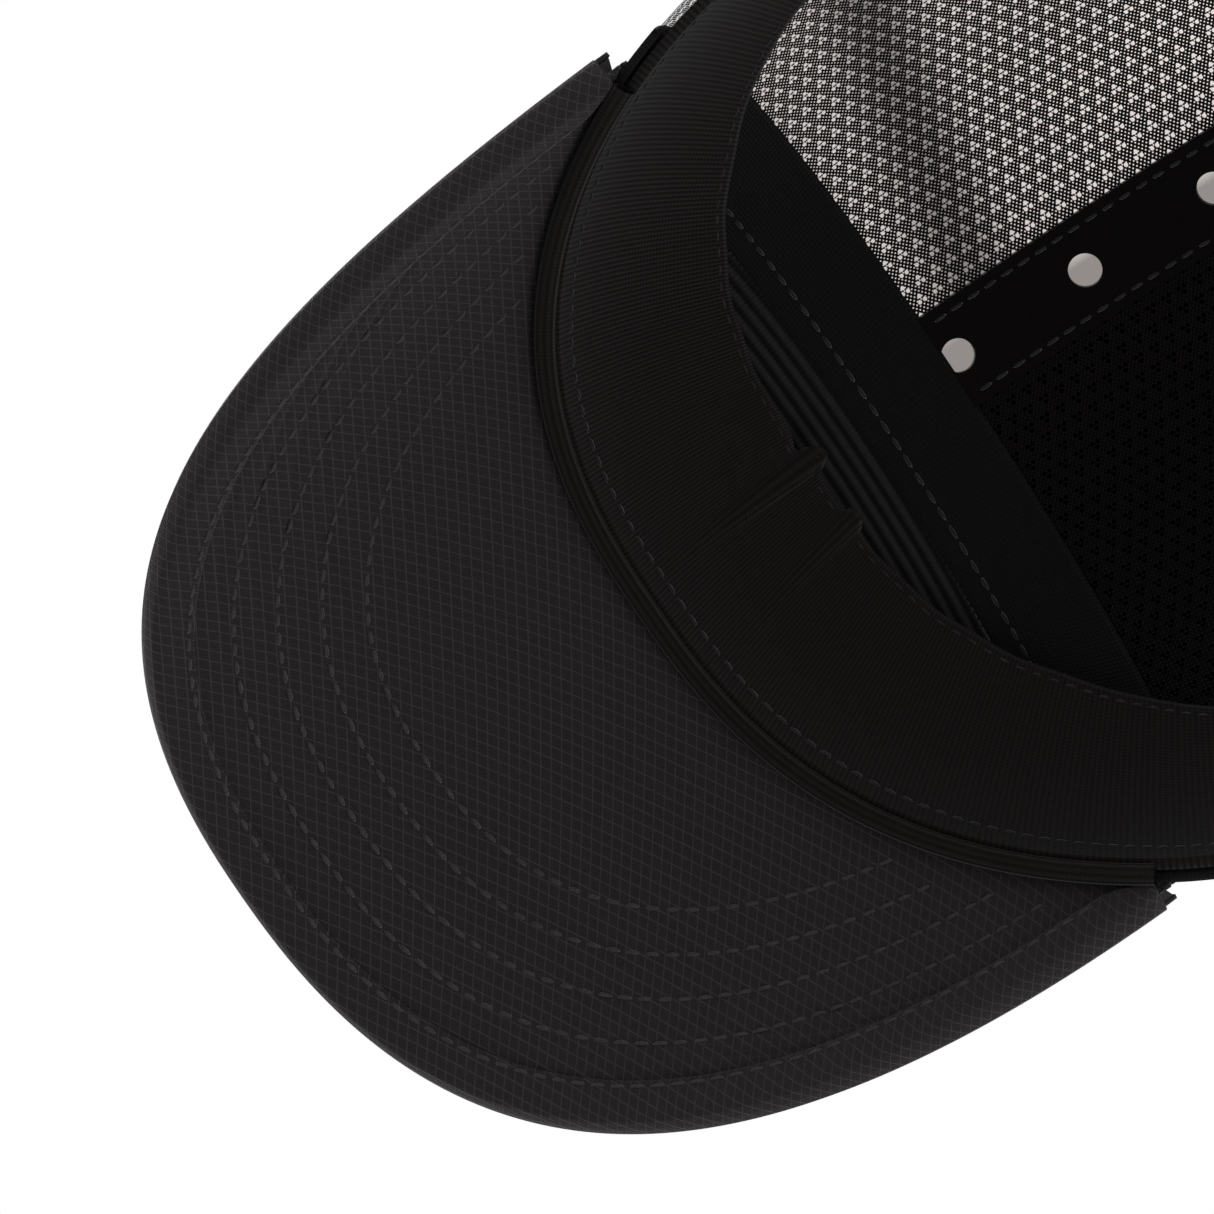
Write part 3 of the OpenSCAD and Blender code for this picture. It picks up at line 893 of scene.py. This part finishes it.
# ---------------------------------------------------------------------------
# Studio. A pale floor seen only from above, white surroundings, a soft lamp below on
# the camera's side, and a card behind the crown glowing with painted light and shade, that its holes look out
# on.
# ---------------------------------------------------------------------------
world = bpy.data.worlds.new("studio")
bpy.context.scene.world = world
world.use_nodes = True
studio_nodes = world.node_tree.nodes
backdrop = studio_nodes["Background"]
backdrop.inputs["Color"].default_value = (1, 1, 1, 1)
heading = studio_nodes.new("ShaderNodeTexCoord")
height = studio_nodes.new("ShaderNodeSeparateXYZ")
world.node_tree.links.new(heading.outputs["Generated"], height.inputs[0])
# white all round and above, dim below
glow = (Wire(world.node_tree, height.outputs["Z"]) * 2.2 + 1.05).math("MAXIMUM", 0.3).math("MINIMUM", 1.0)
world.node_tree.links.new(glow.socket, backdrop.inputs["Strength"])


def one_sided(name, shader, colour_wire, grazing):
    """Material seen from the front of a face only, and no more slanting than grazing allows."""
    mat = bpy.data.materials.new(name)
    mat.use_nodes = True
    tree = mat.node_tree
    tree.nodes.clear()
    geo = tree.nodes.new("ShaderNodeNewGeometry")
    slant = tree.nodes.new("ShaderNodeLayerWeight")
    clear = tree.nodes.new("ShaderNodeBsdfTransparent")
    face = tree.nodes.new(shader)
    mix = tree.nodes.new("ShaderNodeMixShader")
    out = tree.nodes.new("ShaderNodeOutputMaterial")
    too_slanting = Wire(tree, slant.outputs["Facing"]).math("GREATER_THAN", grazing)
    hidden = Wire(tree, geo.outputs["Backfacing"]).math("MAXIMUM", too_slanting)
    tree.links.new(hidden.socket, mix.inputs[0])
    tree.links.new(face.outputs[0], mix.inputs[1])
    tree.links.new(clear.outputs[0], mix.inputs[2])
    tree.links.new(mix.outputs[0], out.inputs[0])
    colour_wire(tree, face)
    return mat


def stage_piece(o, mat):
    """The camera sees it, and it neither shades nor lights the cap."""
    o.data.materials.append(mat)
    o.visible_shadow = o.visible_diffuse = o.visible_glossy = o.visible_transmission = False


def floor_colour(tree, face):
    noise = tree.nodes.new("ShaderNodeTexNoise")
    noise.inputs["Scale"].default_value = 3
    mottle = tree.nodes.new("ShaderNodeMix")
    mottle.data_type = "RGBA"
    mottle.inputs[6].default_value = (0.8, 0.8, 0.8, 1)
    mottle.inputs[7].default_value = (0.84, 0.84, 0.84, 1)
    tree.links.new(noise.outputs[0], mottle.inputs[0])
    tree.links.new(mottle.outputs[2], face.inputs[0])


def card_painted_shade(tree, face):
    """Painted light and shade: light next to the centre strip and brighter along y, with a soft painted
    shadow along a fold; grey painted shade behind the strip; black painted shade under the right mesh panel.
    """
    place = tree.nodes.new("ShaderNodeTexCoord")
    split = tree.nodes.new("ShaderNodeSeparateXYZ")
    tree.links.new(place.outputs["Object"], split.inputs[0])
    x, y = Wire(tree, split.outputs[0]) * 1000, Wire(tree, split.outputs[1]) * 1000
    # painted light to one side of the strip, a painted shadow band along a fold, grey painted shade behind
    # the strip, black painted shade under the right mesh panel
    painted_light_zone = 1 - x.below(0.5, 2.5)
    painted_crease_shadow = (x * 0.215 - y * 0.977 - 42.5).math("ABSOLUTE").below(5.5, 7.0)
    shade = (painted_light_zone * (y * 0.0025 + 0.48) + 0.29) * (1 - x.below(-8.5, 1.0)) * (1 - painted_light_zone * painted_crease_shadow * 0.6)
    mix = tree.nodes.new("ShaderNodeCombineColor")
    for i, tint in enumerate((1.0, 0.92, 0.88)):
        tree.links.new((shade * tint).socket, mix.inputs[i])
    tree.links.new(mix.outputs[0], face.inputs[0])


bpy.ops.object.select_all(action="DESELECT")
bpy.ops.mesh.primitive_plane_add(size=6)
floor = bpy.context.object
floor.name = "floor"
stage_piece(floor, one_sided("floor", "ShaderNodeBsdfDiffuse", floor_colour, 1.0))

bpy.ops.mesh.primitive_circle_add(vertices=64, radius=1, fill_type="NGON", location=(0, 0, 0))
card = bpy.context.object
card.name = "painted_shade_card"
for v in card.data.vertices:
    v.co = Vector((v.co.x * 0.074 - 0.008, v.co.y * 0.085 - 0.005, 0.1))
bpy.ops.object.mode_set(mode="EDIT")
bpy.ops.mesh.select_all(action="SELECT")
bpy.ops.mesh.flip_normals()
bpy.ops.object.mode_set(mode="OBJECT")
# the card glows with painted light and shade; it is no lamp and lights nothing
stage_piece(card, one_sided("card", "ShaderNodeEmission", card_painted_shade, 0.6))

# camera: azimuth, elevation and roll, the point looked at and the distance in metres, lens in millimetres
AZIMUTH = math.radians(148.90)
ELEVATION = math.radians(-73.85)
ROLL = math.radians(25.58)
TARGET = Vector((0.01365, -0.08039, -0.03125))
DISTANCE = 0.9664
way = Vector((math.sin(AZIMUTH) * math.cos(ELEVATION), -math.cos(AZIMUTH) * math.cos(ELEVATION),
              math.sin(ELEVATION)))
level = (-way).cross(Vector((0, 0, 1))).normalized()
steep = level.cross(-way)
right = math.cos(ROLL) * level + math.sin(ROLL) * steep
up = math.cos(ROLL) * steep - math.sin(ROLL) * level
eye = TARGET + DISTANCE * way
bpy.ops.object.camera_add()
camera = bpy.context.object
camera.data.sensor_width = 36
camera.data.lens = 227.882
camera.data.clip_start = 0.01
camera.matrix_world = Matrix((
    (right.x, up.x, way.x, eye.x),
    (right.y, up.y, way.y, eye.y),
    (right.z, up.z, way.z, eye.z), (0, 0, 0, 1)))
bpy.context.scene.camera = camera

for name, place, size, power in (("key", TARGET + way * 1.2 - up * 0.5 + right * 0.5, 0.8, 4),
                                 ("top", Vector((0.5, -0.7, 1.3)), 1.0, 12)):
    bpy.ops.object.light_add(type="AREA", location=place)
    lamp = bpy.context.object
    lamp.name = name
    lamp.data.shape = "DISK"
    lamp.data.size = size
    lamp.data.energy = power
    lamp.rotation_euler = (Vector((0, -0.05, 0.03)) - place).to_track_quat("-Z", "Y").to_euler()
bpy.context.scene.view_settings.view_transform = "Standard"
